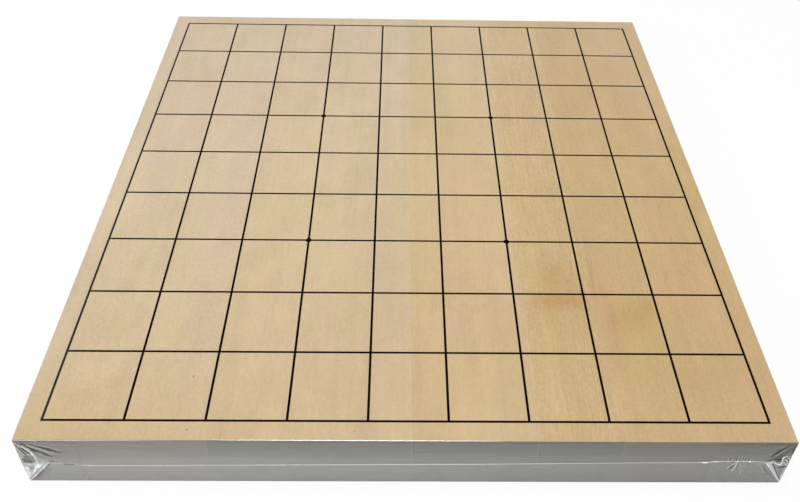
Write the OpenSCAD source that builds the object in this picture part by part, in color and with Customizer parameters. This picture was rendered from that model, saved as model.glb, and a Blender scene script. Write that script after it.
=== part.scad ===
// A one-sun table-top shogi board: five staves glued edge to edge, a nine-by-nine grid of
// raised lacquer strokes with four star points, and the clear shrink film it is sold in.
// X runs across the files, Y from the near end to the far end, Z up from the underside.

/* [Board] */
// Width of the wooden block, across the files
board_w = 333; // [320:1:366]
// Length of the wooden block, along the files
board_l = 364; // [348:1:400]
// Thickness of the wooden block
board_t = 30; // [24:0.5:60]
// Leg of the small flat planed along every edge
edge_flat = 0.5; // [0.3:0.1:2]
// Width of the first stave from the left
stave_1_w = 81; // [60:1:100]
// Width of the second stave
stave_2_w = 87; // [60:1:100]
// Width of the third stave
stave_3_w = 54; // [40:1:80]
// Width of the fourth stave; the fifth takes the rest of the board
stave_4_w = 37; // [30:1:70]
// Thickness of the glue between two staves
glue_t = 0.1; // [0.05:0.05:0.3]

/* [Grid] */
// Width of one square, between the middles of two file lines
cell_w = 34.9; // [33:0.1:35.2]
// Length of one square, between the middles of two rank lines
cell_l = 38.1; // [35:0.1:39.8]
// Width of a lacquer stroke where it meets the wood
line_w = 1.15; // [1.1:0.05:1.4]
// Width of the flat crown of a stroke
line_crown_w = 1.0; // [0.5:0.05:1.05]
// Height of a rank stroke above the wood
rank_line_h = 0.1; // [0.05:0.01:0.2]
// How far a file stroke rides over the rank strokes that it crosses
file_line_rise = 0.04; // [0.02:0.01:0.1]

/* [Star points] */
// Diameter of a star point
star_d = 3.2; // [2.4:0.1:4]
// How far a star point stands above the crossing that it covers
star_rise = 0.06; // [0.04:0.01:0.2]

/* [Shrink film] */
// Thickness of the film
film_t = 0.1; // [0.05:0.01:0.3]
// Clearance between the film and what it is drawn over
film_gap = 0.05; // [0.02:0.01:0.2]
// Height of the welded seam at the left side
seam_z_left = 11.6; // [8:0.1:18]
// Height of the welded seam at the right side
seam_z_right = 16.1; // [8:0.1:18]
// Height of the weld bead
weld_w = 0.5; // [0.3:0.1:1]
// How far the weld bead stands out of the film
weld_proud = 0.3; // [0.1:0.05:0.8]

/* [Corner gathers] */
// How far a gather of spare film reaches from its corner edge, at the seam
gather_w = 14.5; // [8:0.5:24]
// How far it still reaches where it runs out, at the upper and lower edges
gather_end_w = 2.5; // [1.5:0.5:6]
// Height of the pleats
pleat_h = 0.4; // [0.2:0.05:1]
// Pleats on each side of a corner edge
pleats = 3; // [1:1:4]
// Thickness of the bunched film between two pleats
bunch_t = 0.1; // [0.05:0.01:0.3]

/* [Hidden] */

// Heights, from the underside of the film upwards
film_skin = film_gap + film_t;
wood_z = film_skin;
top_z = wood_z + board_t;
file_line_h = rank_line_h + file_line_rise;
star_h = file_line_h + star_rise;
film_inside_z = top_z + star_h + film_gap;
film_top_z = film_inside_z + film_t;

// Outline of the film, and the flat along its edges: a 45 degree flat moved out by d grows by this
function grown_flat(d) = edge_flat + d * (2 - sqrt(2));
film_w = board_w + 2 * film_skin;
film_l = board_l + 2 * film_skin;
film_flat = grown_flat(film_skin);

// Staves, from the left edge: where each joint lies
stave_joints = [
    for (sum = 0, i = 0, widths = [stave_1_w, stave_2_w, stave_3_w, stave_4_w];
         i < len(widths);
         sum = sum + widths[i], i = i + 1)
        -board_w / 2 + sum + widths[i]
];
stave_sides = concat([-board_w], stave_joints, [board_w]);

// The game fixes the squares along each side; lines are counted from the left and the near end
cells = 9;
lines = cells + 1;
function line_at(i, pitch) = (i - cells / 2) * pitch;
star_x = cells / 6 * cell_w;
star_y = cells / 6 * cell_l;
drop_rings = 5;
drop_edge = 0.03;

// The seam lies in a plane that climbs from the left side to the right
seam_tilt = atan2(seam_z_right - seam_z_left, board_w);
seam_middle_z = (seam_z_left + seam_z_right) / 2;
weld_root = film_t + film_gap / 2;

// Mesh of a gather: steps from the corner edge to its outline, and on each side of the seam
face_steps = 12;
up_steps = 6;
gather_gap = 0.02;
// A surface moved out by d grows by this share of d where a face meets the flat at a corner
corner_mitre = tan(22.5);

wood_colour = [0.83, 0.73, 0.57];
wood_tints = [1.0, 0.98, 1.01, 0.95, 0.96];
glue_colour = [0.72, 0.60, 0.42];
lacquer_colour = [0.05, 0.045, 0.04];
film_colour = [0.78, 0.80, 0.82, 0.35];
weld_colour = [0.93, 0.94, 0.95, 0.8];

// A rectangle with its corners cut at 45 degrees
module cut_rectangle(w, l, flat) {
    polygon([
        [-w / 2 + flat, -l / 2], [w / 2 - flat, -l / 2],
        [w / 2, -l / 2 + flat], [w / 2, l / 2 - flat],
        [w / 2 - flat, l / 2], [-w / 2 + flat, l / 2],
        [-w / 2, l / 2 - flat], [-w / 2, -l / 2 + flat]
    ]);
}

// A block on the plane z0 whose every edge has the flat
module flat_edged_block(w, l, z0, z1, flat) {
    h = z1 - z0;
    intersection() {
        translate([0, 0, z0])
            linear_extrude(h) cut_rectangle(w, l, flat);
        translate([0, l / 2, (z0 + z1) / 2])
            rotate([90, 0, 0]) linear_extrude(l) cut_rectangle(w, h, flat);
        translate([-w / 2, 0, (z0 + z1) / 2])
            rotate([90, 0, 90]) linear_extrude(w) cut_rectangle(l, h, flat);
    }
}

module board_block() {
    flat_edged_block(board_w, board_l, wood_z, top_z, edge_flat);
}

// What lies between two planes across the board
module slab(x0, x1) {
    translate([x0, -board_l, 0]) cube([x1 - x0, 2 * board_l, 2 * top_z]);
}

module stave(i) {
    color(wood_colour * wood_tints[i])
        intersection() {
            board_block();
            slab(stave_sides[i] + glue_t / 2, stave_sides[i + 1] - glue_t / 2);
        }
}

module glue_line(i) {
    color(glue_colour)
        intersection() {
            board_block();
            slab(stave_joints[i] - glue_t / 2, stave_joints[i] + glue_t / 2);
        }
}

// One lacquer stroke along X, whose sides lean in to its crown. It runs to the outer edge of
// the crowns of the two lines that it ends on
module stroke(run, h) {
    length = run + line_crown_w;
    translate([-length / 2, 0, 0])
        rotate([90, 0, 90])
            linear_extrude(length)
                polygon([
                    [-line_w / 2, 0], [line_w / 2, 0],
                    [line_crown_w / 2, h], [-line_crown_w / 2, h]
                ]);
}

module rank_stroke(i) {
    translate([0, line_at(i, cell_l), top_z]) stroke(cells * cell_w, rank_line_h);
}

module file_stroke(i) {
    translate([line_at(i, cell_w), 0, top_z])
        rotate([0, 0, 90]) stroke(cells * cell_l, file_line_h);
}

module rank_line(i) {
    color(lacquer_colour) rank_stroke(i);
}

// The file lines were drawn second, so each one bridges the rank lines
module file_line(i) {
    color(lacquer_colour)
        difference() {
            file_stroke(i);
            for (k = [0 : lines - 1]) rank_stroke(k);
        }
}

// A drop of lacquer that has set: a low dome of flat facets on a thin edge
module drop(d, h) {
    hull()
        for (k = [0 : drop_rings - 1])
            let (a = 90 * k / drop_rings)
            cylinder(h = drop_edge + (h - drop_edge) * sin(a) / sin(90 - 90 / drop_rings),
                     d = d * cos(a), $fn = 32);
}

// It is set over the crossing a third of the way in from two sides
module star_point(side, end) {
    nearest_file = round(cells / 2 + side * cells / 6);
    nearest_rank = round(cells / 2 + end * cells / 6);
    color(lacquer_colour)
        difference() {
            translate([side * star_x, end * star_y, top_z]) drop(star_d, star_h);
            file_stroke(nearest_file);
            rank_stroke(nearest_rank);
        }
}

// Section of a weld bead: its root fills the slit in the film, its crown stands outside
module weld_section() {
    polygon([
        [-weld_root, -weld_w / 2], [0, -weld_w / 2],
        [weld_proud, -weld_w / 4], [weld_proud, weld_w / 4],
        [0, weld_w / 2], [-weld_root, weld_w / 2]
    ]);
}

// A weld bead along X, with its crown towards the near end
module weld_bead(run) {
    translate([run / 2, 0, 0])
        rotate([90, 0, -90]) linear_extrude(run) weld_section();
}

module weld_front() {
    run = (film_w - 2 * gather_w) / cos(seam_tilt);
    translate([0, -film_l / 2, seam_middle_z])
        rotate([0, -seam_tilt, 0]) weld_bead(run);
}

// side is -1 on the left and 1 on the right
module weld_side(side) {
    z = side < 0 ? seam_z_left : seam_z_right;
    rotate([0, 0, 90 * side])
        translate([0, -film_w / 2, z]) weld_bead(film_l - 2 * gather_w);
}

// One centre-folded sheet drawn tight round the board: the fold is at the far end,
// and the other three sides are slit where the welds join its two edges
module shrink_film() {
    color(film_colour)
        difference() {
            flat_edged_block(film_w, film_l, 0, film_top_z, film_flat);
            flat_edged_block(board_w + 2 * film_gap, board_l + 2 * film_gap,
                             film_t, film_inside_z, grown_flat(film_gap));
            weld_front();
            weld_side(-1);
            weld_side(1);
        }
}

// How far a gather reaches at height z: full at the seam, in a bow above it and straight below
function gather_reach(z, seam_z) =
    let (
        low_z = film_flat,
        high_z = film_top_z - film_flat,
        share = z < seam_z ? (z - low_z) / (seam_z - low_z)
                           : sqrt((high_z - z) / (high_z - seam_z))
    )
    gather_end_w + (gather_w - gather_end_w) * share;

// Height of the spare film, t being 0 at the corner edge and 1 at the outline:
// pleats that run out towards both ends, pinched into one ridge along the seam
function spare_film(t, reach, on_seam) =
    on_seam ? 1 - t
            : (0.5 + 0.5 * cos(360 * pleats * t)) * (1 - t * t) * reach / gather_w;

// A point of the near left gather, i steps from the corner edge and moved out by d
function gather_point(on_near_face, i, z, reach, d) =
    let (
        s = film_flat + (reach - film_flat) * i / face_steps,
        in = i == 0 ? s - corner_mitre * d : s
    )
    on_near_face ? [-film_w / 2 + in, -film_l / 2 - d, z]
                 : [-film_w / 2 - d, -film_l / 2 + in, z];

function both_triangles(q) = [[q[0], q[1], q[2]], [q[0], q[2], q[3]]];

// The gather at the near left corner, wrapped round the corner edge of the film
module gather(seam_z) {
    low_z = film_flat;
    high_z = film_top_z - film_flat;
    columns = concat(
        [for (i = [face_steps : -1 : 0]) [true, i]],
        [for (i = [0 : face_steps]) [false, i]]
    );
    rows = concat(
        [for (k = [0 : up_steps]) low_z + (seam_z - weld_w - low_z) * k / up_steps],
        [seam_z],
        [for (k = [0 : up_steps]) seam_z + weld_w + (high_z - seam_z - weld_w) * k / up_steps]
    );
    inner = [
        for (z = rows) for (c = columns)
            gather_point(c[0], c[1], z, gather_reach(z, seam_z), gather_gap)
    ];
    outer = [
        for (z = rows) for (c = columns)
            let (
                reach = gather_reach(z, seam_z),
                spare = spare_film(c[1] / face_steps, reach, z == seam_z)
            )
            gather_point(c[0], c[1], z, reach, gather_gap + bunch_t + pleat_h * spare)
    ];
    wide = len(columns);
    tall = len(rows);
    function at(k, i) = k * wide + i;
    behind = [
        for (k = [0 : tall - 2]) for (i = [0 : wide - 2])
            [at(k, i), at(k + 1, i), at(k + 1, i + 1), at(k, i + 1)]
    ];
    in_front = [for (q = behind) [for (v = [3 : -1 : 0]) q[v] + len(inner)]];
    rim = concat(
        [for (i = [0 : wide - 2]) at(0, i)],
        [for (k = [0 : tall - 2]) at(k, wide - 1)],
        [for (i = [wide - 1 : -1 : 1]) at(tall - 1, i)],
        [for (k = [tall - 1 : -1 : 1]) at(k, 0)]
    );
    edges = [
        for (j = [0 : len(rim) - 1])
            let (a = rim[j], b = rim[(j + 1) % len(rim)])
            [a, b, b + len(inner), a + len(inner)]
    ];
    polyhedron(
        concat(inner, outer),
        [for (q = concat(behind, in_front, edges)) each both_triangles(q)]
    );
}

// side is -1 or 1 across the board, end -1 at the near end and 1 at the far end
module film_gather(side, end) {
    color(weld_colour)
        mirror([side > 0 ? 1 : 0, 0, 0])
            mirror([0, end > 0 ? 1 : 0, 0])
                gather(side < 0 ? seam_z_left : seam_z_right);
}

module film_weld() {
    color(weld_colour) children();
}

for (i = [0 : 4])
    stave(i);
for (i = [0 : 3])
    glue_line(i);
for (i = [0 : lines - 1])
    rank_line(i);
for (i = [0 : lines - 1])
    file_line(i);
star_point(-1, -1);  // star_point_front_left
star_point(1, -1);  // star_point_front_right
star_point(-1, 1);  // star_point_back_left
star_point(1, 1);  // star_point_back_right
shrink_film();
film_weld() weld_front();  // film_weld_front
film_weld() weld_side(-1);  // film_weld_left
film_weld() weld_side(1);  // film_weld_right
film_gather(-1, -1);  // film_gather_front_left
film_gather(1, -1);  // film_gather_front_right
film_gather(-1, 1);  // film_gather_back_left
film_gather(1, 1);  // film_gather_back_right
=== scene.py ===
# The looks of a shogi board in its shrink film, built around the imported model
import math

import bmesh
import bpy
import numpy as np
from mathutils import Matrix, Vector
from mathutils import noise


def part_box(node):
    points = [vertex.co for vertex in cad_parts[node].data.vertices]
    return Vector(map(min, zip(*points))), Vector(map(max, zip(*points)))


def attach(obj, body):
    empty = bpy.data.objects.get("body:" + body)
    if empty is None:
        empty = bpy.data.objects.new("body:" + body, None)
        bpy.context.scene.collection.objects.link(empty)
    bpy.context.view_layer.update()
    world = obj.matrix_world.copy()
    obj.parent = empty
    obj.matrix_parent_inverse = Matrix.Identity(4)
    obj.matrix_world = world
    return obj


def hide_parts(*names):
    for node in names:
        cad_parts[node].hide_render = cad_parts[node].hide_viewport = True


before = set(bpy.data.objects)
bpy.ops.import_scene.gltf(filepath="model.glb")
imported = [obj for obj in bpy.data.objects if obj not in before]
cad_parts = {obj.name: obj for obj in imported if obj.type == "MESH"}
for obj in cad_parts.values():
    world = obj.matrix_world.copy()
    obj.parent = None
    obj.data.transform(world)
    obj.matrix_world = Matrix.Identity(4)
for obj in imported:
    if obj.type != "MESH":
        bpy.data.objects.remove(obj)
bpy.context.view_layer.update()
mm = 0.001  # sizes below are in millimetres, and Blender's are in metres
crossover = 1 * mm  # left and right, or near and far, change over this close to the middle


# Shader maths, written as ordinary expressions
class Wire:
    def __init__(self, shade, socket):
        self.shade = shade
        self.socket = socket

    def maths(self, operation, *values):
        return self.shade.node("Math", {"operation": operation}, dict(enumerate(values)))

    def __add__(self, other):
        return self.maths("ADD", self, other)

    def __radd__(self, other):
        return self.maths("ADD", other, self)

    def __sub__(self, other):
        return self.maths("SUBTRACT", self, other)

    def __rsub__(self, other):
        return self.maths("SUBTRACT", other, self)

    def __mul__(self, other):
        return self.maths("MULTIPLY", self, other)

    def __truediv__(self, other):
        return self.maths("DIVIDE", self, other)

    def __pow__(self, other):
        return self.maths("POWER", self, other)

    def size(self):
        return self.maths("ABSOLUTE", self)

    def largest(self, other):
        return self.maths("MAXIMUM", self, other)

    def smallest(self, other):
        return self.maths("MINIMUM", self, other)


# One material and its nodes
class Shade:
    def __init__(self, name, world=False):
        made = bpy.data.worlds.new(name) if world else bpy.data.materials.new(name)
        made.use_nodes = True
        self.made = made
        self.tree = made.node_tree
        self.tree.nodes.clear()

    def node(self, kind, settings=None, sockets=None, output=0):
        made = self.tree.nodes.new("ShaderNode" + kind)
        for key, value in (settings or {}).items():
            if key == "stops":
                self.setStops(made.color_ramp, value)
            else:
                setattr(made, key, value)
        for key, value in (sockets or {}).items():
            if isinstance(value, Wire):
                self.tree.links.new(value.socket, made.inputs[key])
            else:
                made.inputs[key].default_value = value
        return Wire(self, made.outputs[output]) if made.outputs else made

    def setStops(self, ramp, stops):
        while len(ramp.elements) < len(stops):
            ramp.elements.new(0.5)
        for element, (place, colour) in zip(ramp.elements, stops):
            element.position = place
            element.color = (*colour, 1)

    def axes(self):
        split = self.node("SeparateXYZ", None, {0: self.node("TexCoord", output="Object")})
        outputs = split.socket.node.outputs
        return [Wire(self, outputs[axis]) for axis in "XYZ"]

    # waves is how many waves of the noise there are in a metre, along each axis
    def noise(self, waves, detail=2.0, rough=0.5, shift=(0, 0, 0), turn=(0, 0, 0)):
        place = self.node("Mapping", None, {
            "Vector": self.node("TexCoord", output="Object"),
            "Location": shift,
            "Rotation": turn,
            "Scale": waves,
        })
        return self.node("TexNoise", None, {
            "Vector": place,
            "Scale": 1.0,
            "Detail": detail,
            "Roughness": rough,
        })

    def step(self, value, low, high, start=0.0, end=1.0):
        return self.node("MapRange", {"interpolation_type": "SMOOTHSTEP"}, {
            "Value": value,
            "From Min": low,
            "From Max": high,
            "To Min": start,
            "To Max": end,
        })

    def blend(self, factor, first, second, way="MIX"):
        settings = {"data_type": "RGBA", "blend_type": way}
        return self.node("Mix", settings, {0: factor, 6: first, 7: second}, output=2)

    def grey(self, value):
        if not isinstance(value, Wire):
            return (value, value, value, 1)
        return self.node("CombineColor", None, {0: value, 1: value, 2: value})

    def finish(self, surface, kind="OutputMaterial"):
        self.node(kind, None, {"Surface": surface})
        return self.made


# Camera, worked out from the crossings of the grid and the edges of the board
camera = {
    "place": (-5.27, -397.04, 346.08),
    "turn": (48.6728, -1.1112, -0.5074),
    "lens": 39.4346,
    "sensor": 36,
    "shift": (-0.01885, -0.04274),
    "nearest": 20,
}


def setCamera():
    data = bpy.data.cameras.new("camera")
    data.lens = camera["lens"]
    data.sensor_width = camera["sensor"]
    data.shift_x = camera["shift"][0]
    data.shift_y = camera["shift"][1]
    data.clip_start = camera["nearest"] * mm
    made = bpy.data.objects.new("camera", data)
    made.location = Vector(camera["place"]) * mm
    made.rotation_euler = [math.radians(angle) for angle in camera["turn"]]
    bpy.context.scene.collection.objects.link(made)
    bpy.context.scene.camera = made


setCamera()
print("camera placed")

# Sizes that the imported model gives
filmLow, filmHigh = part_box("shrink_film")
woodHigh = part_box("stave_5")[1]
seamHeight = {
    side: sum(corner.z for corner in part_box("film_weld_" + side)) / 2
    for side in ("left", "right")
}


def link(mesh, name):
    made = bpy.data.objects.new(name, mesh)
    bpy.context.scene.collection.objects.link(made)
    return made


def dress(node, material):
    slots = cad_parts[node].data.materials
    slots.clear()
    slots.append(material)


# Wood: five staves glued edge to edge, with the grain along the board
wood = {
    "yellow": (0.667, 0.517, 0.301),
    "pink": (0.674, 0.508, 0.317),
    "fleck": (0.36, 0.235, 0.11),
    "stain": (0.86, 0.74, 0.58),
    "knot": (0.16, 0.09, 0.04),
    # the end grain's colours, darker than the wood's own: painted shade on the end faces
    "shadedEndPale": (0.155, 0.135, 0.108),
    "shadedEndDark": (0.078, 0.068, 0.056),
    "roughness": (0.45, 0.6),
    "gloss": 0.2,
    "relief": 0.05,
    "reliefStrength": 0.3,
    "poreRelief": 0.5,
    "uneven": (0.16, 0.18, 0.16),  # how strong the bands, the mottle and the blotches are
    "endFrom": (0.55, 0.35),  # the ends' colour comes in between these distances from the edge
    # painted shade on the eased front edge, in the end faces' darkened colour
    "nearEdgeShade": 0.22,  # how much further the eased front edge reaches inwards
    "shift": (0.37, 0.61, 0.23),  # each stave's pattern lies this much further on
    "ringTilt": (0.34, -0.17),  # slope of the rings on the first end, and its change from end to end
    "endDots": 0.4,
    "endRings": 0.35,
    # painted light and sheen on the top: its tint from the near end to the far end, along the left side
    # and along the right side
    "left": [
        (0.0, (0.900, 0.838, 0.700)), (0.05, (0.926, 0.884, 0.800)), (0.1, (0.954, 0.930, 0.896)),
        (0.5, (1.014, 1.024, 1.072)), (1.0, (0.980, 0.994, 1.040)),
    ],
    "right": [
        (0.0, (0.992, 1.018, 1.13)), (0.1, (0.969, 0.961, 0.967)), (0.5, (1.004, 1.006, 1.040)),
        (1.0, (0.984, 1.042, 1.225)),
    ],
}
# each stave's tint on top, partly its own colour and partly painted light that is lighter and cooler
# to the left, and its tint on its end, and how strong its flecks, streaks and fine grain are
staves = [
    {
        "toneAndLight": (0.971, 0.997, 1.079), "end": (1.34, 1.20, 1.02),
        "flecks": 0.10, "streaks": 0.06, "grain": 0.27,
    },
    {
        "toneAndLight": (0.971, 0.984, 1.013), "end": (0.84, 0.94, 0.84),
        "flecks": 0.10, "streaks": 0.10, "grain": 0.22,
    },
    {
        "toneAndLight": (0.974, 0.954, 0.887), "end": (0.82, 0.89, 0.89),
        "flecks": 0.12, "streaks": 0.10, "grain": 0.20,
    },
    {
        "toneAndLight": (0.924, 0.871, 0.744), "end": (0.80, 0.88, 0.87),
        "flecks": 0.30, "streaks": 0.34, "grain": 0.34,
    },
    {
        "toneAndLight": (0.900, 0.817, 0.678), "end": (1.00, 0.99, 0.88),
        "flecks": 0.24, "streaks": 0.20, "grain": 0.28,
    },
]
# patterns in the wood, across, along and down through the board
patterns = {
    "bands": {"waves": (150, 2.2, 60), "detail": 3.0, "rough": 0.6},
    "mottle": {"waves": (34, 12, 34), "detail": 3.0, "rough": 0.55},
    "blotches": {"waves": (95, 45, 95)},
    "hue": {"waves": (60, 7, 60)},
    "fibres": {"waves": (900, 45, 900), "detail": 3.0, "rough": 0.6},
    "grain": {"waves": (800, 420, 800), "rough": 0.6},
    "pores": {"waves": (1500, 110, 1500), "detail": 1.0},
    "dots": {"waves": (1500, 1500, 1500), "rough": 0.6},
    "rings": {"waves": (40, 0, 420)},
}
# the values of a pattern between which it takes effect
effects = {
    "hue": (0.35, 0.65), "pores": (0.60, 0.76), "fibres": (0.2, 0.8), "dots": (0.35, 0.75),
    "rings": (0.4, 0.62),
}
# the fourth stave starts in its neighbour's colour and darkens over this stretch
slowStep = {"number": 3, "x": (54.0, 60.0)}
# darker patches: the staves that they lie on, how ragged they are, how the fibres take them, and
# each one's extent across and along the board, softness of the edges and strength
stainedStaves = (3, 4)
stainEdge = {"ragged": 3.0, "least": 0.4, "fibres": 1.2}
stains = [
    {"x": (61, 89), "y": (-104, -95), "soft": (5, 3.5), "strength": 0.60},
    {"x": (66, 89), "y": (-113, -97), "soft": (6, 8), "strength": 0.26},
    {"x": (66, 88), "y": (-94, -72), "soft": (7, 10), "strength": 0.54},
    {"x": (91.6, 94.0), "y": (-101, -78), "soft": (1.3, 9), "strength": 0.50},
    {"x": (98, 122), "y": (-116, -99), "soft": (7, 7), "strength": 0.38},
    {"x": (93, 110), "y": (-128, -108), "soft": (6, 8), "strength": 0.20},
    {"x": (62, 84), "y": (-134, -112), "soft": (6, 9), "strength": 0.14},
]
# smudges and pin knots: the staves that they lie on, their edges, and each one's middle and half size
markedStaves = (0, 1)
smudgeEdge = {"ragged": 1.2, "soft": 0.6}
smudges = [
    {"middle": (-142, -159), "half": (9, 5), "strength": 0.09},
    {"middle": (-128, -151), "half": (9, 5), "strength": 0.10},
]
knotEdge = {"ragged": 1.5, "soft": 0.4, "strength": 0.5}
pinKnots = [
    {"middle": (-96.6, -147.8), "half": (0.5, 0.7)},
    {"middle": (-94.4, -176.1), "half": (0.4, 0.5)},
    {"middle": (-23.0, -176.7), "half": (0.4, 0.5)},
]


def spot(shade, x, y, place, ragged, soft):
    dx = (x - place["middle"][0] * mm) / (place["half"][0] * mm)
    dy = (y - place["middle"][1] * mm) / (place["half"][1] * mm)
    away = (dx * dx + dy * dy) ** 0.5 + ragged
    return shade.step(away, 1.0 + soft, 1.0 - soft)


def patch(shade, x, y, place, ragged):
    inside = 1.0
    for value, extent, soft in zip((x, y), (place["x"], place["y"]), place["soft"]):
        value = value + ragged * soft * mm
        inside = shade.step(value, (extent[0] - soft) * mm, (extent[0] + soft) * mm) * inside
        inside = shade.step(value, (extent[1] + soft) * mm, (extent[1] - soft) * mm) * inside
    return inside * place["strength"]


def topColour(shade, number, x, y, shift):
    stave = staves[number]
    bands, mottle, blotches, hue, fibres, grain, pores = [
        shade.noise(shift=shift, **patterns[name])
        for name in ("bands", "mottle", "blotches", "hue", "fibres", "grain", "pores")
    ]
    # painted light and sheen: the top's tint changes from end to end and from side to side
    far = y / (2 * woodHigh.y) + 0.5
    sides = [
        shade.node("ValToRGB", {"stops": wood[side]}, {"Fac": far})
        for side in ("left", "right")
    ]
    along = shade.blend(x / (2 * woodHigh.x) + 0.5, *sides)
    # the stave's tint, partly its own colour and partly painted light
    own = (*stave["toneAndLight"], 1)
    if number == slowStep["number"]:
        start, end = slowStep["x"]
        own = shade.blend(shade.step(x, start * mm, end * mm), (*staves[number - 1]["toneAndLight"], 1), own)
    toneAndLight = shade.blend(1.0, along, own, "MULTIPLY")
    pinker = shade.step(hue, *effects["hue"])
    colour = shade.blend(pinker, (*wood["yellow"], 1), (*wood["pink"], 1))
    colour = shade.blend(1.0, colour, toneAndLight, "MULTIPLY")
    strengths = (*wood["uneven"], stave["streaks"], stave["grain"])
    level = 1.0
    for found, strength in zip((bands, mottle, blotches, fibres, grain), strengths):
        level = level + (found - 0.5) * strength
    colour = shade.blend(1.0, colour, shade.grey(level), "MULTIPLY")
    if number in stainedStaves:
        ragged = (mottle - 0.5) * stainEdge["ragged"] + (fibres - 0.5) * stainEdge["ragged"]
        share = 0.0
        for place in stains:
            share = patch(shade, x, y, place, ragged) + share
        share = share.smallest(1.0) * (stainEdge["least"] + fibres * stainEdge["fibres"])
        colour = shade.blend(share, colour, (*wood["stain"], 1), "MULTIPLY")
    if number in markedStaves:
        ragged = (mottle - 0.5) * smudgeEdge["ragged"] + (grain - 0.5)
        for place in smudges:
            share = spot(shade, x, y, place, ragged, smudgeEdge["soft"]) * place["strength"]
            colour = shade.blend(share, colour, (*wood["fleck"], 1))
        ragged = (pores - 0.5) * knotEdge["ragged"]
        for place in pinKnots:
            share = spot(shade, x, y, place, ragged, knotEdge["soft"]) * knotEdge["strength"]
            colour = shade.blend(share, colour, (*wood["knot"], 1))
    flecks = shade.step(pores, *effects["pores"]) * stave["flecks"]
    return shade.blend(flecks, colour, (*wood["fleck"], 1)), fibres, pores


def woodMaterial(number):
    shade = Shade("wood" + str(number + 1))
    x, y = shade.axes()[:2]
    shift = [part * number for part in wood["shift"]]
    colour, fibres, pores = topColour(shade, number, x, y, shift)
    # painted shade: the darkened end colour reaches further in along the eased front edge
    reach = y.size() + shade.step(y, crossover, -crossover, 0, wood["nearEdgeShade"] * mm)
    ends = shade.step(reach, *[woodHigh.y - inwards * mm for inwards in wood["endFrom"]])
    dots = shade.noise(shift=shift, **patterns["dots"])
    tilt, change = wood["ringTilt"]
    rings = shade.noise(shift=shift, turn=(0, tilt + change * number, 0), **patterns["rings"])
    endShare = shade.step(dots, *effects["dots"]) * wood["endDots"]
    endShare = endShare + shade.step(rings, *effects["rings"]) * wood["endRings"]
    # painted shade: the end colour is darker than the end grain's own
    shadedEndColour = shade.blend(endShare, (*wood["shadedEndPale"], 1), (*wood["shadedEndDark"], 1))
    shadedEndColour = shade.blend(1.0, shadedEndColour, (*staves[number]["end"], 1), "MULTIPLY")
    bump = shade.node("Bump", None, {
        "Height": fibres + pores * wood["poreRelief"],
        "Strength": wood["reliefStrength"],
        "Distance": wood["relief"] * mm,
    })
    surface = shade.node("BsdfPrincipled", None, {
        "Base Color": shade.blend(ends, colour, shadedEndColour),
        "Roughness": shade.step(fibres, *effects["fibres"], *wood["roughness"]),
        "Specular IOR Level": wood["gloss"],
        "Normal": bump,
    })
    return shade.finish(surface)


for number in range(len(staves)):
    dress("stave_" + str(number + 1), woodMaterial(number))
print("wood finished")


# Glue: a hair line between two staves
glue = {
    "dark": (0.44, 0.33, 0.19),
    "pale": (0.56, 0.43, 0.26),
    "cloud": {"waves": (300, 40, 300)},
    "roughness": 0.5,
}


def glueMaterial():
    shade = Shade("woodGlue")
    cloud = shade.noise(**glue["cloud"])
    surface = shade.node("BsdfPrincipled", None, {
        "Base Color": shade.blend(cloud, (*glue["dark"], 1), (*glue["pale"], 1)),
        "Roughness": glue["roughness"],
    })
    return shade.finish(surface)


glueFinish = glueMaterial()
for number in range(len(staves) - 1):
    dress("glue_line_" + str(number + 1), glueFinish)
print("joints glued")


# Lacquer strokes and drops
lacquer = {
    "deep": (0.0055, 0.0016, 0.0003),
    "thin": (0.010, 0.004, 0.0012),
    "cloud": {"waves": (500, 500, 500), "detail": 3.0},
    "thinner": (0.4, 0.8),  # the values of its cloud between which it thins, and roughens
    "rougher": (0.3, 0.7),
    "roughness": (0.35, 0.5),
    "gloss": 0.01,
}


def lacquerMaterial():
    shade = Shade("blackLacquer")
    thin = shade.noise(**lacquer["cloud"])
    share = shade.step(thin, *lacquer["thinner"])
    surface = shade.node("BsdfPrincipled", None, {
        "Base Color": shade.blend(share, (*lacquer["deep"], 1), (*lacquer["thin"], 1)),
        "Roughness": shade.step(thin, *lacquer["rougher"], *lacquer["roughness"]),
        "Specular IOR Level": lacquer["gloss"],
    })
    return shade.finish(surface)


lacquerFinish = lacquerMaterial()
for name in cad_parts:
    if name.startswith(("rank_line", "file_line", "star_point")):
        dress(name, lacquerFinish)
print("lacquer finished")


# Shrink film: clear on top, faintly milky where it was drawn down over the edges; on the walls the
# milkiness also stands in for the film's reflection of the white surroundings, as painted reflection
film = {
    "wall": 0.06,
    "edgeRound": 0.86,
    "footRound": 0.5,
    "roughness": 0.12,
    "haze": (0.83, 0.83, 0.815),
    "topVeil": 0.0004,
    "leftMarginSheen": 0.02,
    "topShine": 0.0003,
    "rimShine": 0.062,
    "wallShine": 0.042,
    "grazing": 0.08,
    "creaseGloss": (0.93, 0.97, 1.0),
    "hollowShadeTone": 0.08,
    "footShadeTone": 0.28,
    "hazeRoughness": 0.6,
    "mostShine": 0.95,
    "roundSteps": 5,
    "rimReach": 0.1,  # how far the shine of the rounded edge reaches past it, and how soft it ends
    "rimSoft": 0.2,
    "flat": (0.80, 0.43),  # in metres, the sheet laid out
}
# milkiness of the walls by height: the bottom edge, up to the seam, above it, and to the top edge,
# partly the film's haze and partly painted reflection and shade: lighter below the seam, darker under
# the top edge
veilSteps = {
    "bottom": 0.29, "belowSeam": 0.335, "aboveSeam": 0.28, "middle": 0.152, "high": 0.108,
    "edges": 0.15, "shadedFoot": 0.8,
}
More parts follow.
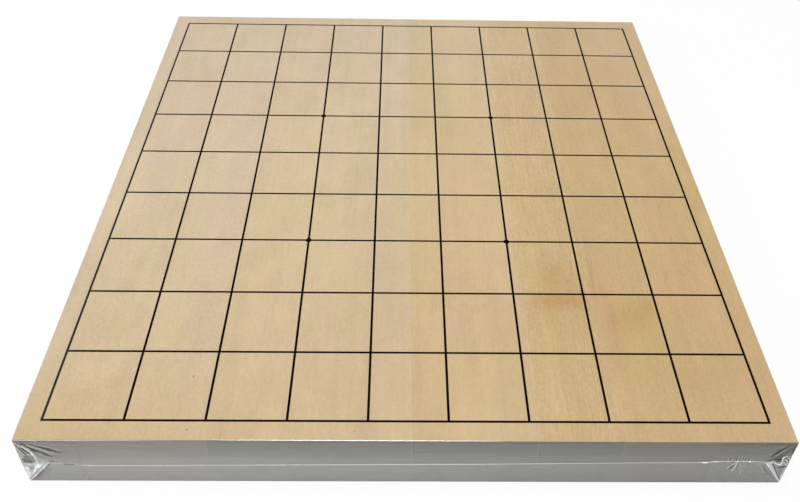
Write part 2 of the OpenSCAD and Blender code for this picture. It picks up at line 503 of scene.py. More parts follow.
# where it changes: from the table, from the seam, down from the top, in from the outline of the
# underside, and in from the left edge on top
veilPlaces = {
    "bottom": 1.0, "seamSoft": 0.5, "middle": 10.0, "high": (10.0, 1.5), "edges": (1.3, 0.5),
    "top": (0.75, 0.2), "shadedFoot": (0.9, 0.35), "ring": (1.4, 0.7), "leftMargin": (15.0, 8.0),
}
# how it is clouded
clouds = {"waves": (38, 38, 90), "detail": 3.0, "rough": 0.55}
cloudShare = {"least": 0.86, "swing": 0.28}
# painted shade: how the milkiness falls to the right, and towards both ends, for each metre and square
# metre, so that the walls darken to the right, and the least share of it that is left at the right end
veilFallAsShade = {"below": 1.35, "above": 2.8, "ends": 8.0, "leastBelow": 0.75, "leastAbove": 0.60}
# how far a gather reaches, the stretch over which its pleats die out, the stretch over which it
# hands the milkiness over to the skin, the power that keeps four thin walls as bright as two, and
# the clear strip at its rim
gatherReach = {"left": 27.0, "right": 36.0, "fade": 5.0, "switch": 2.4, "even": 0.68, "rim": 0.1}
# the seam on the front face runs this much higher than at the sides, left and right
seamLift = {"left": 0.15, "right": 0.65}
seamEnds = {side: seamHeight[side] + seamLift[side] * mm for side in seamHeight}
seamMiddle = (seamEnds["left"] + seamEnds["right"]) / 2
seamSlope = (seamEnds["right"] - seamEnds["left"]) / (2 * filmHigh.x)


def filmSurface(shade, veil, shine, tone, gloss):
    # tone darkens the haze: painted shade along the foot and in the hollows of the gathers
    haze = shade.node("BsdfPrincipled", None, {
        "Base Color": shade.blend(1.0, shade.grey(tone), (*film["haze"], 1), "MULTIPLY"),
        "Roughness": film["hazeRoughness"],
        "Specular IOR Level": 0.0,
    })
    clear = shade.node("BsdfTransparent", None, {"Color": (1, 1, 1, 1)})
    body = shade.node("MixShader", None, {0: veil, 1: clear, 2: haze})
    facing = shade.node("LayerWeight", None, {"Blend": 0.5}, output="Facing")
    mirror = shade.node("BsdfGlossy", None, {"Color": (*gloss, 1), "Roughness": film["roughness"]})
    share = shine + (facing ** 5) * film["grazing"]
    return shade.node("MixShader", None, {0: share.smallest(film["mostShine"]), 1: body, 2: mirror})


def clouded(shade, veil):
    return veil * (cloudShare["least"] + shade.noise(**clouds) * cloudShare["swing"])


def belowTop(shade, z, place, start=0.0, end=1.0):
    return shade.step(z, filmHigh.z - place[0] * mm, filmHigh.z - place[1] * mm, start, end)


def skinMaterial():
    shade = Shade("clearFilm")
    x, y, z = shade.axes()
    half = filmHigh
    seam = seamMiddle + x * seamSlope
    steps = veilSteps
    places = veilPlaces
    soft = places["seamSoft"] * mm
    lower = shade.step(z, places["bottom"] * mm, seam, steps["bottom"], steps["belowSeam"])
    middle = shade.step(
        z, seam + soft, seam + places["middle"] * mm, steps["aboveSeam"], steps["middle"],
    )
    high = belowTop(shade, z, places["high"], 1.0, steps["high"] / steps["middle"])
    high = high * belowTop(shade, z, places["edges"], 1.0, steps["edges"])
    above = shade.step(z - seam, -soft, soft)
    # painted shade: the milkiness thins to the right and towards the ends
    ends = x * x * veilFallAsShade["ends"]
    upper = (1.0 - x * veilFallAsShade["above"] - ends).largest(veilFallAsShade["leastAbove"])
    below = (1.0 - x * veilFallAsShade["below"] - ends).largest(veilFallAsShade["leastBelow"])
    wall = above * middle * high * upper + (1 - above) * lower * below
    # near each corner the gathered piece carries the milkiness instead
    fromCorner = (half.x - x.size()).largest(half.y - y.size())
    right = shade.step(x, -crossover, crossover)
    reach = gatherReach["left"] + right * (gatherReach["right"] - gatherReach["left"])
    reach = (reach + film["edgeRound"] * (1 - math.pi / 4)) * mm
    strip = gatherReach["rim"]
    keep = shade.step(fromCorner - reach, (-strip - gatherReach["switch"]) * mm, -strip * mm)
    keep = keep ** gatherReach["even"]
    wall = 1 - (1 - clouded(shade, wall)) ** keep
    onTop = belowTop(shade, z, places["top"])
    # painted shade: bunched and milky where it turns beneath the board, its haze darkened along the
    # foot, and clear beneath it
    shadedFoot = shade.step(z, *[height * mm for height in places["shadedFoot"]])
    inwards = (half.x - x.size()).smallest(half.y - y.size())
    ring = shade.step(inwards, *[place * mm for place in places["ring"]])
    clear = onTop.largest(shadedFoot * (1 - ring))
    shadedFoot = shadedFoot * ring
    wall = wall.largest(shadedFoot * steps["shadedFoot"])
    # painted reflection: a trace of haze along the left margin of the top, for the sheen there
    sheenMargin = shade.step(x, *[place * mm - half.x for place in places["leftMargin"]])
    veil = wall * (1 - clear) + clear * (sheenMargin * film["leftMarginSheen"] + film["topVeil"])
    inner = (film["edgeRound"] + film["rimReach"]) * mm
    outer = inner - film["rimSoft"] * mm
    rim = shade.step(x.size() - half.x, -inner, -outer)
    rim = rim.largest(shade.step(y.size() - half.y, -inner, -outer))
    shine = onTop * (film["topShine"] + rim * film["rimShine"])
    shine = shine + (1 - onTop) * keep * film["wallShine"]
    tone = 1 - shadedFoot * (1 - film["footShadeTone"])
    return shade.finish(filmSurface(shade, veil, shine, tone, (1, 1, 1)))


def makeSkin():
    bm = bmesh.new()
    bmesh.ops.create_cube(bm, size=1.0)
    bmesh.ops.scale(bm, vec=filmHigh - filmLow, verts=bm.verts)
    bmesh.ops.translate(bm, vec=(filmHigh + filmLow) / 2, verts=bm.verts)
    low = filmLow.z + 1e-6  # an edge below this lies in the plane of the foot
    for radius in ("edgeRound", "footRound"):
        foot = [edge for edge in bm.edges if all(vert.co.z < low for vert in edge.verts)]
        others = [edge for edge in bm.edges if edge not in foot]
        bmesh.ops.bevel(
            bm, geom=others if radius == "edgeRound" else foot, offset=film[radius] * mm,
            affect="EDGES", segments=film["roundSteps"], profile=0.5, material=-1,
        )
    mesh = bpy.data.meshes.new("clearFilm")
    bm.to_mesh(mesh)
    bm.free()
    mesh.shade_smooth()
    made = link(mesh, "clearFilm")
    shell = made.modifiers.new("wall", "SOLIDIFY")
    shell.thickness = film["wall"] * mm
    shell.offset = -1
    shell.use_even_offset = True
    mesh.materials.append(skinMaterial())
    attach(made, "root")
    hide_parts("shrink_film")
    return made


skin = makeSkin()
print("film drawn over the board")

# Gathered film at the corners. Places are (distance from the corner, height) in millimetres on
# the end face, with the seam at the height given. Each stroke is a pleat, a crease or a clear
# streak: its path, its half width at either end, how far it stands proud, its veil and its shine.
# A veil below zero is a hollow whose haze is darkened: painted shade
leftPleats = {
    "seam": 11.75,
    "strokes": [
        # clearer film left of the curved pleat and right of the flap, milkier film above the knot
        ([(1.4, 25.3), (3.0, 21.8), (4.0, 18.8)], 1.0, 1.7, 0.0, 0.10, 0.02),
        ([(10.4, 10.2), (7.4, 6.2), (3.6, 1.8)], 1.5, 1.2, 0.0, 0.25, 0.03),
        ([(7.4, 19), (8.6, 16.7), (9.4, 15)], 0.6, 1.5, 0.05, 0.36, 0.05),
        # the fan from the top corner, a clear streak first, then streaks of painted shade
        ([(2, 29.4), (6, 28.9), (10, 28.2), (14, 27.4)], 0.25, 0.35, 0.0, 0.08, 0.02),
        ([(3.9, 28.4), (4.6, 27.6), (6.3, 25.8), (7.2, 24.4), (8.1, 23.0)], 0.35, 0.72, -0.05, -0.3, 0),
        ([(6.4, 28.5), (8.0, 27.8), (9.6, 26.5), (12.2, 25.4), (14.4, 24.2)],
         0.2, 0.72, -0.05, -0.16, 0),
        ([(14.4, 24.2), (16.8, 22.9), (18.6, 22.1)], 0.72, 0.3, -0.05, -0.16, 0),
        ([(8.0, 24.0), (9.6, 23.0), (11.2, 21.5)], 0.3, 0.58, -0.05, -0.2, 0),
        ([(11.2, 21.4), (12.9, 19.9), (14.4, 19.2)], 0.62, 0.3, -0.05, -0.2, 0),
        ([(6.0, 27.2), (8.2, 25.8), (9.8, 24.9), (12.4, 23.3), (14.8, 21.8)],
         0.4, 0.62, 0.12, 0.30, 0.10),
        ([(6.7, 29.1), (12.5, 26.8), (18.3, 23.9)], 0.25, 0.45, 0.12, 0.30, 0.06),
        ([(8.8, 21.6), (10.8, 19.6), (12.8, 18)], 0.3, 0.4, 0.1, 0.30, 0.04),
        # small creases beside the upright edge, the darker ones painted shade
        ([(1.3, 26.8), (2.3, 23.9), (3.6, 20.7)], 0.3, 0.35, -0.03, -0.15, 0),
        ([(0.7, 26.5), (1.6, 23.5), (2.9, 19.9)], 0.25, 0.28, 0.12, 0.50, 0.25),
        ([(2.0, 26.6), (3.1, 23.9), (4.6, 20.3)], 0.22, 0.28, 0.12, 0.50, 0.28),
        ([(2.8, 25.7), (4.0, 23.0), (5.3, 20.6)], 0.3, 0.40, -0.03, -0.15, 0),
        ([(4.3, 21.5), (5.5, 19.7)], 0.25, 0.28, 0.12, 0.55, 0.30),
        ([(0.5, 21.8), (1.5, 19.9), (1.9, 18.7)], 0.25, 0.28, 0.12, 0.50, 0.28),
        ([(0.5, 19.2), (1.2, 17.9)], 0.22, 0.22, 0.1, 0.45, 0.25),
        # the clear hollow beside the knot, with painted shade along its lower side
        ([(1.9, 16.6), (3.1, 16.5), (4.3, 16.0)], 0.8, 0.95, -0.03, 0.10, 0),
        ([(1.6, 15.2), (3.1, 14.8), (4.6, 14.9)], 0.25, 0.33, -0.05, -0.20, 0),
        # the pleat that curves down to the knot, with a bright line along it
        ([(0.9, 29.1), (2.5, 27.4), (3.9, 25.9), (5.3, 23.8), (6.4, 21.4)], 0.2, 0.36, 0.4, 0.48, 0.20),
        ([(3.6, 26.7), (5.2, 24.7), (6.2, 22.8), (6.8, 21.1)], 0.12, 0.16, 0.1, 0.87, 0.72),
        ([(6.4, 21.6), (6.8, 20.8)], 0.28, 0.28, 0.4, 0.92, 0.9),
        ([(6.8, 20.6), (6.9, 18.8), (7.1, 16.5), (7.1, 14.4)], 0.28, 0.40, 0.4, 0.65, 0.38),
        ([(6.9, 20.1), (7.9, 19.2)], 0.18, 0.18, 0.2, 0.6, 0.35),
        ([(7.2, 19.3), (8.2, 17.3), (9.4, 14.9)], 0.2, 0.26, 0.2, 0.46, 0.18),
        ([(9.2, 17.8), (10.2, 16.4), (11.3, 15.6)], 0.18, 0.22, 0.15, 0.48, 0.20),
        # the flap below the knot, with its grey band, a line of painted shade and its bright folded
        # edge
        ([(8.4, 12.6), (5.6, 9.0), (2.4, 5.0), (1.2, 3.0)], 2.0, 0.8, 0.2, 0.62, 0.32),
        ([(0.9, 12.7), (3.6, 12.6), (5.0, 13.0)], 0.8, 0.8, 0.12, 0.48, 0.18),
        ([(1.2, 13.9), (2.6, 13.5), (4.1, 13.6)], 0.17, 0.17, 0.2, 0.8, 0.60),
        ([(6.0, 12.8), (7.9, 12.4), (7.4, 11.2), (6.0, 11.4)], 0.8, 0.7, 0.35, 0.92, 0.90),
        ([(1.4, 10.2), (1.3, 7.0), (0.7, 3.4)], 1.1, 0.5, 0.25, 0.85, 0.58),
        ([(6.2, 11.2), (4.4, 8.6), (2.6, 5.8)], 0.3, 0.3, 0.3, 0.85, 0.72),
        ([(9.2, 12.9), (7.2, 10.6), (5.2, 8.1), (3.2, 5.5), (1.4, 3.2)], 0.50, 0.45, 0.0, 0.36, 0.08),
        ([(12.0, 13.4), (9.4, 10.4), (5.4, 5.4), (1.8, 1.2)], 0.14, 0.17, -0.03, -0.10, 0.01),
        ([(11.7, 14.6), (10.4, 13.2), (8.7, 11.2), (6.6, 8.7), (4.5, 6.2), (2.4, 3.4), (0.5, 1.0)],
         0.19, 0.14, 0.5, 0.90, 0.88),
        ([(8.9, 9.2), (6.4, 6.0), (4.3, 2.7)], 0.2, 0.2, -0.02, 0.08, 0.01),
        # where the seam comes out of the knot, with painted shade in the creases beside it
        ([(12.6, 15.9), (14.6, 15.4)], 0.17, 0.12, -0.03, -0.28, 0),
        ([(12.0, 14.3), (13.9, 13.9), (17.6, 13.8)], 0.26, 0.28, 0.12, 0.52, 0.22),
        ([(18.4, 13.5), (20.4, 13.4), (22.4, 13.2)], 0.35, 0.35, -0.03, -0.25, 0),
    ],
}
rightPleats = {
    "seam": 16.75,
    "strokes": [
        # clearer film in the upper corner and milkier film beside the bright triangle
        ([(3, 27.4), (5, 23.6), (6, 20.8)], 2.2, 2.4, 0.0, 0.05, 0.01),
        ([(0.6, 29.4), (0.8, 26.5), (0.8, 23.8)], 1.0, 0.9, -0.03, 0.01, 0),
        ([(4.8, 12.4), (3.6, 8.8), (2.2, 5.2)], 1.2, 0.6, 0.05, 0.33, 0.06),
        ([(12.4, 14.2), (11.0, 11.4), (9.1, 8.2)], 0.5, 0.6, 0.08, 0.34, 0.04),
        ([(11.2, 13.8), (9.2, 10.4), (7.2, 7.4)], 0.22, 0.25, 0.0, 0.10, 0.01),
        # the fan from the top corner, streaks of painted shade first
        ([(4.4, 28.4), (5.6, 26.7), (6.8, 24.9)], 0.35, 0.72, -0.05, -0.16, 0),
        ([(6.8, 24.9), (7.9, 22.9), (9.2, 21.1)], 0.72, 0.4, -0.05, -0.24, 0),
        ([(5.8, 28.8), (7.6, 26.0), (9.2, 23.3), (10, 21.7)], 0.3, 0.35, 0.12, 0.19, 0.03),
        ([(4.4, 26.2), (6.0, 23.9), (7.6, 21.5)], 0.3, 0.4, 0.12, 0.26, 0.05),
        ([(2.2, 29), (3.8, 26.5), (4.6, 24.8)], 0.35, 0.35, 0.1, 0.15, 0.02),
        # the crumpled knot: hollows of painted shade, then the white wavy folds and flecks over them
        ([(9.6, 17.6), (8.4, 18.2)], 0.4, 0.45, -0.05, -0.35, 0),
        ([(7.4, 18.5), (6.0, 18.6), (4.3, 18.0)], 0.5, 0.55, -0.05, -0.40, 0),
        ([(5.4, 17.0), (4.5, 19.6)], 0.4, 0.4, -0.05, -0.10, 0),
        ([(2.8, 19.2), (2.2, 20.0)], 0.3, 0.3, -0.05, -0.40, 0),
        ([(1.0, 18.2), (1.3, 18.8)], 0.25, 0.25, -0.05, -0.40, 0),
        ([(2.8, 16.8), (2.3, 17.4)], 0.3, 0.3, -0.05, -0.40, 0),
        ([(0.9, 16.9), (0.8, 16.3)], 0.25, 0.25, -0.05, -0.40, 0),
        ([(3.6, 12.9), (1.3, 13.2)], 0.5, 0.62, -0.05, -0.25, 0),
        ([(4.4, 14.0), (1.4, 14.4)], 0.25, 0.25, 0.15, 0.42, 0.20),
        ([(10.9, 16.3), (9.3, 16.5), (7.9, 16.3)], 0.28, 0.28, 0.3, 0.8, 0.60),
        ([(8.9, 16.8), (7.7, 17.4), (7.0, 16.9), (6.6, 16.2), (5.8, 15.9), (5.3, 15.2), (4.7, 15.4),
          (4.1, 15.0), (3.5, 15.6), (3.5, 16.5), (3.1, 16.9)], 0.17, 0.19, 0.45, 0.9, 0.90),
        ([(3.2, 17.1), (3.9, 17.9), (3.6, 18.7), (4.0, 19.4), (3.7, 20.5), (3.0, 20.9), (2.4, 21.2)],
         0.17, 0.19, 0.45, 0.9, 0.90),
        ([(1.6, 20.1), (1.2, 19.5)], 0.2, 0.2, 0.3, 0.9, 0.85),
        ([(1.6, 17.5), (1.2, 16.9)], 0.2, 0.2, 0.3, 0.9, 0.85),
        ([(1.7, 15.3), (1.1, 14.9)], 0.2, 0.2, 0.3, 0.9, 0.80),
        ([(0.6, 18.6), (0.4, 18.0)], 0.2, 0.2, 0.3, 0.9, 0.85),
        ([(2.5, 17.8), (2.0, 18.7)], 0.15, 0.15, 0.2, 0.8, 0.60),
        ([(2.4, 16.2), (1.9, 15.8)], 0.15, 0.15, 0.2, 0.8, 0.60),
        ([(0.7, 16.1), (0.5, 15.4)], 0.15, 0.15, 0.2, 0.8, 0.60),
        # light along the upright edge, and the bright tapering triangle with painted shade beside it
        ([(0.5, 12.4), (0.7, 8.5), (0.6, 4.4)], 0.4, 0.35, 0.1, 0.48, 0.28),
        ([(9.0, 16.0), (6.6, 12.4), (4.7, 9.2), (2.7, 5.9), (1.6, 4.0), (0.5, 1.9)],
         1.05, 0.25, 0.4, 0.78, 0.20),
        ([(10.2, 16.2), (7.9, 12.9), (6.6, 11.0)], 0.24, 0.22, 0.3, 0.9, 0.85),
        ([(6.6, 11.0), (4.7, 7.9), (2.7, 4.9), (0.9, 2.2)], 0.2, 0.15, 0.3, 0.88, 0.55),
        ([(7.3, 15.4), (4.9, 11.2), (2.8, 7.0), (1.0, 3.7)], 0.2, 0.16, -0.02, -0.15, 0.01),
        # the pucker on the seam: streaks below it, ticks above it with gaps of painted shade between
        # them
        ([(23.4, 16.4), (25.1, 13.9), (26.6, 11.9)], 0.16, 0.2, 0.2, 0.66, 0.32),
        ([(23.1, 16.0), (23.1, 12.9), (23.8, 9.9)], 0.18, 0.24, 0.2, 0.66, 0.32),
        ([(21.3, 15.7), (20.5, 11.5), (19.6, 7.2)], 0.35, 0.5, 0.1, 0.37, 0.04),
        ([(19.6, 15.6), (19.3, 13.2)], 0.22, 0.25, 0.1, 0.40, 0.06),
        ([(24.1, 14.4), (25.2, 11.6)], 0.28, 0.3, -0.02, -0.12, 0.01),
        ([(22.3, 14.8), (22.3, 11.8)], 0.22, 0.22, -0.02, 0.12, 0.01),
        ([(27.6, 17.9), (27.7, 19.8)], 0.2, 0.16, 0.1, 0.42, 0.12),
        ([(25.7, 17.9), (25.8, 19.7)], 0.27, 0.22, 0.1, 0.46, 0.14),
        ([(24.5, 17.9), (24.6, 19.8)], 0.2, 0.16, 0.1, 0.42, 0.12),
        ([(23.2, 17.9), (23.2, 20.3)], 0.27, 0.22, 0.1, 0.47, 0.14),
        ([(22.0, 17.9), (21.9, 20.6)], 0.27, 0.22, 0.1, 0.46, 0.14),
        ([(20.7, 17.9), (20.6, 20.1)], 0.27, 0.22, 0.1, 0.46, 0.14),
        ([(19.5, 17.9), (19.3, 20.2)], 0.2, 0.16, 0.1, 0.42, 0.12),
        ([(18.2, 17.9), (18.0, 20.0)], 0.2, 0.16, 0.1, 0.40, 0.12),
        ([(26.6, 17.7), (26.7, 19.4)], 0.26, 0.2, -0.02, -0.12, 0.01),
        ([(25.1, 17.7), (25.1, 20.0)], 0.22, 0.2, -0.02, -0.10, 0.01),
        ([(23.8, 17.7), (23.9, 20.4)], 0.22, 0.2, -0.02, -0.10, 0.01),
        ([(22.6, 17.7), (22.6, 20.8)], 0.22, 0.2, -0.02, -0.08, 0.01),
        ([(21.3, 17.7), (21.3, 20.6)], 0.22, 0.2, -0.02, -0.10, 0.01),
        ([(20.1, 17.7), (20.0, 19.8)], 0.22, 0.2, -0.02, -0.10, 0.01),
        ([(18.8, 17.7), (18.7, 19.4)], 0.22, 0.2, -0.02, -0.12, 0.01),
    ],
}


def smooth(values):
    values = np.clip(values, 0, 1)
    return values * values * (3 - 2 * values)


def between(first, last, share):
    return first + (last - first) * smooth(share)


# the walls' milkiness once more, in numbers, for the points of a gather
def wallVeil(z, x):
    steps = veilSteps
    places = veilPlaces
    seam = (seamMiddle + x * seamSlope) / mm
    bottom = places["bottom"]
    soft = places["seamSoft"]
    lower = between(steps["bottom"], steps["belowSeam"], (z - bottom) / (seam - bottom))
    share = (z - seam - soft) / (places["middle"] - soft)
    middle = between(steps["aboveSeam"], steps["middle"], share)
    high = 1
    for name, least in (("high", steps["high"] / steps["middle"]), ("edges", steps["edges"])):
        start, end = places[name]
        high = high * between(1, least, (z - filmHigh.z / mm + start) / (start - end))
    above = smooth((z - seam + soft) / (2 * soft))
    # painted shade: the milkiness thins to the right and towards the ends
    ends = x * x * veilFallAsShade["ends"]
    upper = np.maximum(veilFallAsShade["leastAbove"], 1 - x * veilFallAsShade["above"] - ends)
    below = np.maximum(veilFallAsShade["leastBelow"], 1 - x * veilFallAsShade["below"] - ends)
    return above * middle * high * upper + (1 - above) * lower * below


# how steeply a stroke falls at its edges, how flat it is along its middle, and how ragged it is
strokeEdge = {"fall": 0.7, "power": 4, "ragged": 0.5}


def strokeProfile(s, z, path, narrow, wide, ragged):
    path = np.array(path, dtype=float)
    lengths = np.hypot(*(path[1:] - path[:-1]).T)
    starts = np.concatenate([[0], np.cumsum(lengths)])
    best = np.full(s.shape, np.inf)
    share = np.zeros(s.shape)
    for number, length in enumerate(lengths):
        direction = (path[number + 1] - path[number]) / length
        run = (s - path[number][0]) * direction[0] + (z - path[number][1]) * direction[1]
        run = np.clip(run, 0, length)
        away = np.hypot(
            s - path[number][0] - run * direction[0],
            z - path[number][1] - run * direction[1],
        )
        nearer = away < best
        best = np.where(nearer, away, best)
        share = np.where(nearer, (starts[number] + run) / starts[-1], share)
    best = best / ((narrow + (wide - narrow) * share) * (1 + strokeEdge["ragged"] * ragged))
    return np.exp(-strokeEdge["fall"] * best ** strokeEdge["power"])


def wallPlace(corner, s, z, proud):
    side, end = corner
    radius = film["edgeRound"]
    arc = radius * math.pi / 4
    angle = math.pi / 4 + np.clip(s, -arc, arc) / radius
    normal = (side * np.cos(angle), end * np.sin(angle))
    top = filmHigh.z / mm
    curl = np.clip(z - (top - radius), 0, radius)
    out = proud + np.sqrt(radius * radius - curl * curl)
    x = side * (filmHigh.x / mm - radius) + out * normal[0] - side * np.clip(s - arc, 0, None)
    y = end * (filmHigh.y / mm - radius) + out * normal[1] - end * np.clip(-s - arc, 0, None)
    return x, y, z


# the sheet that each gather is pressed from: its mesh, how far it stands off the film, how its
# relief dies out at the top, the bottom and the corner, and its unevenness
gatherSheet = {
    "cell": 0.25,
    "low": 0.5,
    "tall": 29.4,
    "proud": 0.09,
    "relief": (-0.03, 0.6),
    "reliefTop": 30.2,
    "reliefSoft": 1.5,
    "cornerRelief": 0.25,
    "aroundCorner": (0.6, 0.8),
    "ragged": {"waves": 0.8, "seeds": (2.7, 5.9)},
    "crumples": {"waves": 0.9, "seeds": (7.1, 3.3)},
    "crumpleHeight": 0.04,
    "crumpleLift": 0.6,
    "specks": {"waves": (900, 900, 900), "detail": 3.0, "rough": 0.6},
    "brighter": (0.35, 0.65),  # the values of the specks between which they brighten its shine
    "dullest": 0.5,
}


def unevenness(s, z, corner, waves, seeds):
    seed = corner[0] * seeds[0] + corner[1] * seeds[1]
    return np.array([noise.noise(Vector((a * waves, b * waves, seed))) for a, b in zip(s, z)])


def gatherMaterial():
    shade = Shade("bunchedFilm")
    veil, shine, tone = [
        shade.node("Attribute", {"attribute_name": name}, output="Fac")
        for name in ("veil", "shine", "tone")
    ]
    speck = shade.noise(**gatherSheet["specks"])
    shine = shine * (gatherSheet["dullest"] + shade.step(speck, *gatherSheet["brighter"]))
    return shade.finish(filmSurface(shade, clouded(shade, veil), shine, tone, film["creaseGloss"]))


def makeGather(name, corner, endSet, sideSet, reach, seam, material):
    sheet = gatherSheet
    across = int(2 * reach / sheet["cell"])
    up = int(sheet["tall"] / sheet["cell"])
    bm = bmesh.new()
    bmesh.ops.create_grid(bm, x_segments=across, y_segments=up, size=0.5)
    mesh = bpy.data.meshes.new(name)
    bm.to_mesh(mesh)
    bm.free()
    count = len(mesh.vertices)
    flat = np.empty(count * 3)
    mesh.vertices.foreach_get("co", flat)
    flat = flat.reshape(-1, 3)
    s = flat[:, 0] * 2 * reach
    z = sheet["low"] + (flat[:, 1] + 0.5) * sheet["tall"]
    high = np.zeros(count)
    fade = smooth((reach - np.abs(s)) / gatherReach["fade"])
    switch = smooth((reach - np.abs(s) - gatherReach["rim"]) / gatherReach["switch"])
    switch = switch ** gatherReach["even"]
    # a point on the end face lies in from the corner, and one on the side face doesn't
    veil = wallVeil(z, corner[0] * (filmHigh.x - np.clip(s, 0, None) * mm))
    shine = np.full(count, film["wallShine"])
    tone = np.ones(count)
    ragged = unevenness(s, z, corner, **sheet["ragged"])
    beyond, soft = sheet["aroundCorner"]
    top = filmHigh.z / mm
    for pleats, away in ((endSet, s), (sideSet, -s)):
        onFace = smooth((away + beyond) / soft)
        old = pleats["seam"]
        # the strokes' heights follow where the seam meets this corner
        height = np.where(z < seam, z * old / seam, top - (top - z) * (top - old) / (top - seam))
        for path, narrow, wide, proud, milky, bright in pleats["strokes"]:
            profile = strokeProfile(away, height, path, narrow, wide, ragged) * onFace * fade
            high = high + profile * proud
            veil = veil + (abs(milky) - veil) * profile
            tone = tone + ((film["hollowShadeTone"] if milky < 0 else 1) - tone) * profile
            shine = shine + (bright - shine) * profile
    crumple = unevenness(s, z, corner, **sheet["crumples"])
    soft = sheet["reliefSoft"]
    edge = fade * smooth((sheet["reliefTop"] - z) / soft) * smooth((z - sheet["low"]) / soft)
    edge = edge * between(sheet["cornerRelief"], 1, np.abs(s) / soft)
    relief = np.clip(high, *sheet["relief"])
    relief = relief + sheet["crumpleHeight"] * (crumple + sheet["crumpleLift"])
    x, y, z = wallPlace(corner, s, z, sheet["proud"] + edge * relief)
    mesh.vertices.foreach_set("co", (np.stack([x, y, z], axis=1) * mm).ravel())
    looks = {"veil": 1 - (1 - veil) ** switch, "shine": shine * switch, "tone": tone}
    for key, values in looks.items():
        layer = mesh.attributes.new(key, "FLOAT", "POINT")
        layer.data.foreach_set("value", values.astype(np.float32))
    if corner[0] * corner[1] > 0:
        mesh.flip_normals()
    mesh.shade_smooth()
    mesh.materials.append(material)
    made = link(mesh, name)
    shell = made.modifiers.new("wall", "SOLIDIFY")
    shell.thickness = film["wall"] * mm
    shell.offset = -1
    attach(made, "root")
    return made


bunched = gatherMaterial()
for sideName, side in (("left", -1), ("right", 1)):
    for endName, end in (("front", -1), ("back", 1)):
        ownSet, otherSet = (leftPleats, rightPleats) if side < 0 else (rightPleats, leftPleats)
        endSet, sideSet = (ownSet, otherSet) if end < 0 else (otherSet, ownSet)
        made = makeGather(
            "gather_" + endName + "_" + sideName, (side, end), endSet, sideSet,
            gatherReach[sideName], seamHeight[sideName] / mm + seamLift[sideName], bunched,
        )
        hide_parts("film_gather_" + endName + "_" + sideName)
print("corners gathered")

# Welds: thin uneven beads where the sheet was sealed and cut off
frontWeld = {
    "path": [
        (-155, 14.1), (-150, 13.9), (-144.5, 13.6), (-142.5, 12.4), (-127, 12.3), (-64, 13.1),
        (-30, 13.5), (0, 13.9), (34, 14.3), (68, 15.1), (102, 15.75), (123, 16.1), (131, 16.25),
        (133, 16.8), (141, 17.1), (150, 17.1), (156, 16.6),
    ],
    "thick": 0.2,
    "beads": [
        (129.4, 0.26, 2.0), (134.4, 0.15, 1.6), (139, 0.16, 0.7), (143.3, 0.24, 0.6), (146, 0.20, 0.6),
        (148.8, 0.27, 0.8), (-62, 0.05, 9), (20, 0.05, 14), (-148, -0.13, 5),
    ],
}
sideWeld = {
    "ends": (-173, 173),
    "thick": 0.2,
    "beads": [(-60, 0.15, 2), (35, 0.2, 1.5), (90, 0.1, 6)],
}
# how every weld is drawn out: its mesh, how it stands off the film, how its thickness and height
# wander, how it thins at its ends, and from which extra size on it shows as a bead
weldShape = {
    "sides": 8,
    "cell": 0.5,
    "proud": 0.11,
    "depth": 0.8,
    "uneven": {"waves": 0.45, "share": 0.55},
    "wander": {"waves": 0.07, "seed": 5.0, "height": 0.12},
    "thinnest": 0.3,
    "taper": 3,
    "bead": (0.07, 0.15),
    "lumps": {"waves": (700, 700, 700), "rough": 0.6},
    "veil": (0.6, 0.3, 0.1),  # its own, and what its lumps and its beads add
    "shine": (0.18, 0.24, 0.45),
}


def weldMaterial():
    shade = Shade("weldedFilm")
    lumps = shade.noise(**weldShape["lumps"])
    bead = shade.node("Attribute", {"attribute_name": "bead"}, output="Fac")
    veil, shine = [
        own + lumps * rough + bead * swollen
        for own, rough, swollen in (weldShape["veil"], weldShape["shine"])
    ]
    return shade.finish(filmSurface(shade, veil, shine, 1.0, (1, 1, 1)))


def makeWeld(name, node, path, thick, beads, place, material):
    shape = weldShape
    start = path[0][0]
    length = path[-1][0] - start
    steps = int(length / shape["cell"])
    bm = bmesh.new()
    made = bmesh.ops.create_circle(bm, cap_ends=False, radius=1.0, segments=shape["sides"])
    ring = made["verts"]
    bmesh.ops.spin(
        bm, geom=ring + bm.edges[:], cent=(0, 0, 0), axis=(0, 0, 1), dvec=(0, 0, length / steps),
        angle=0, steps=steps, use_duplicate=False,
    )
    bmesh.ops.holes_fill(bm, edges=[edge for edge in bm.edges if edge.is_boundary], sides=0)
    runs = [point[0] for point in path]
    heights = [point[1] for point in path]
    swell = bm.verts.layers.float.new("bead")
    for vert in bm.verts:
        run = start + vert.co.z
        uneven = noise.noise(Vector((run * shape["uneven"]["waves"], len(name), 0)))
        along = (run * shape["wander"]["waves"], shape["wander"]["seed"], len(name))
        size = thick * (1 + shape["uneven"]["share"] * uneven)
        extra = sum(more * math.exp(-((run - middle) / reach) ** 2) for middle, more, reach in beads)
        size += extra
        vert[swell] = min(1, max(0, extra - shape["bead"][0]) / shape["bead"][1])
        toEnd = min(run - start, start + length - run)
        size *= min(1, shape["thinnest"] + toEnd / shape["taper"])
        height = float(np.interp(run, runs, heights))
        height += shape["wander"]["height"] * noise.noise(Vector(along))
        out = shape["proud"] + vert.co.y * size * shape["depth"]
        vert.co = Vector(place(run, out, height + vert.co.x * size)) * mm
    bmesh.ops.recalc_face_normals(bm, faces=bm.faces)
    mesh = bpy.data.meshes.new(name)
    bm.to_mesh(mesh)
    bm.free()
    mesh.shade_smooth()
    mesh.materials.append(material)
    made = link(mesh, name)
    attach(made, "root")
    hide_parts(node)
    return made


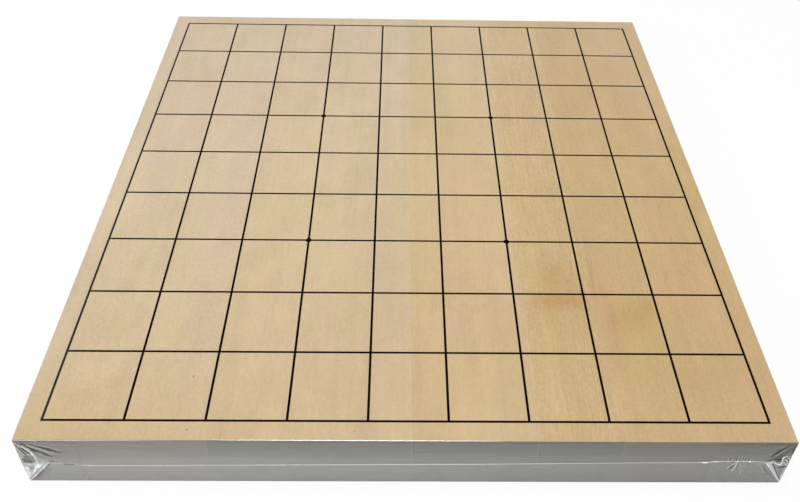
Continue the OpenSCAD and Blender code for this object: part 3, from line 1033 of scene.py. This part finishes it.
welded = weldMaterial()
wallX = filmHigh.x / mm
wallY = filmHigh.y / mm
leftPath, rightPath = [
    [(run, seamHeight[side] / mm + seamLift[side]) for run in sideWeld["ends"]]
    for side in ("left", "right")
]
welds = [
    makeWeld(
        "weldFront", "film_weld_front", frontWeld["path"], frontWeld["thick"], frontWeld["beads"],
        lambda run, out, height: (run, -wallY - out, height), welded,
    ),
    makeWeld(
        "weldLeft", "film_weld_left", leftPath, sideWeld["thick"], sideWeld["beads"],
        lambda run, out, height: (-wallX - out, run, height), welded,
    ),
    makeWeld(
        "weldRight", "film_weld_right", rightPath, sideWeld["thick"], sideWeld["beads"],
        lambda run, out, height: (wallX + out, run, height), welded,
    ),
]
print("seams welded")


# Studio: a white floor that keeps a soft shadow, and soft light from above and from the left
studio = {
    "floorSize": 4.0,  # in metres, as are the lamps' places and widths
    "floorDrop": 0.05,  # keeps the floor from lying in one plane with the film
    "floorTone": 0.6,
    "floorGlow": 0.92,
    "ambient": 0.36,
    "key": {"place": (-0.12, 0.0, 1.8), "aim": (0, 0, 0), "width": 0.88, "power": 17.4},
    "window": {"place": (-0.62, -0.72, 0.55), "aim": (0, -0.1, 0), "width": 0.5, "power": 2.6},
}


def seenShare(shade):
    path = shade.node("LightPath").socket.node
    seen = Wire(shade, path.outputs["Is Camera Ray"])
    seen = seen.largest(Wire(shade, path.outputs["Is Glossy Ray"]))
    return seen.largest(Wire(shade, path.outputs["Is Transmission Ray"]))


def makeFloor():
    bm = bmesh.new()
    bmesh.ops.create_grid(bm, x_segments=1, y_segments=1, size=studio["floorSize"])
    mesh = bpy.data.meshes.new("floor")
    bm.to_mesh(mesh)
    bm.free()
    made = link(mesh, "floor")
    made.location.z = -studio["floorDrop"] * mm
    shade = Shade("floor")
    tone = studio["floorTone"]
    lit = shade.node("BsdfDiffuse", None, {"Color": (tone, tone, tone, 1)})
    white = shade.node("BsdfDiffuse", None, {"Color": (1, 1, 1, 1)})
    glow = shade.node("Emission", None, {"Color": (1, 1, 1, 1), "Strength": 1.0})
    shown = shade.node("MixShader", None, {0: studio["floorGlow"], 1: white, 2: glow})
    mesh.materials.append(shade.finish(shade.node("MixShader", None, {
        0: seenShare(shade),
        1: lit,
        2: shown,
    })))


def makeWorld():
    shade = Shade("studio", world=True)
    room = shade.node("Background", None, {"Color": (1, 1, 1, 1), "Strength": studio["ambient"]})
    white = shade.node("Background", None, {"Color": (1, 1, 1, 1), "Strength": 1.0})
    surface = shade.node("MixShader", None, {0: seenShare(shade), 1: room, 2: white})
    bpy.context.scene.world = shade.finish(surface, "OutputWorld")


def makeLamp(name):
    settings = studio[name]
    data = bpy.data.lights.new(name, "AREA")
    data.shape = "DISK"
    data.size = settings["width"]
    data.energy = settings["power"]
    made = bpy.data.objects.new(name, data)
    made.location = settings["place"]
    towards = Vector(settings["aim"]) - made.location
    made.rotation_euler = towards.to_track_quat("-Z", "Y").to_euler()
    bpy.context.scene.collection.objects.link(made)


makeFloor()
makeWorld()
makeLamp("key")
makeLamp("window")
bpy.context.scene.view_settings.view_transform = "Standard"
print("studio lit")
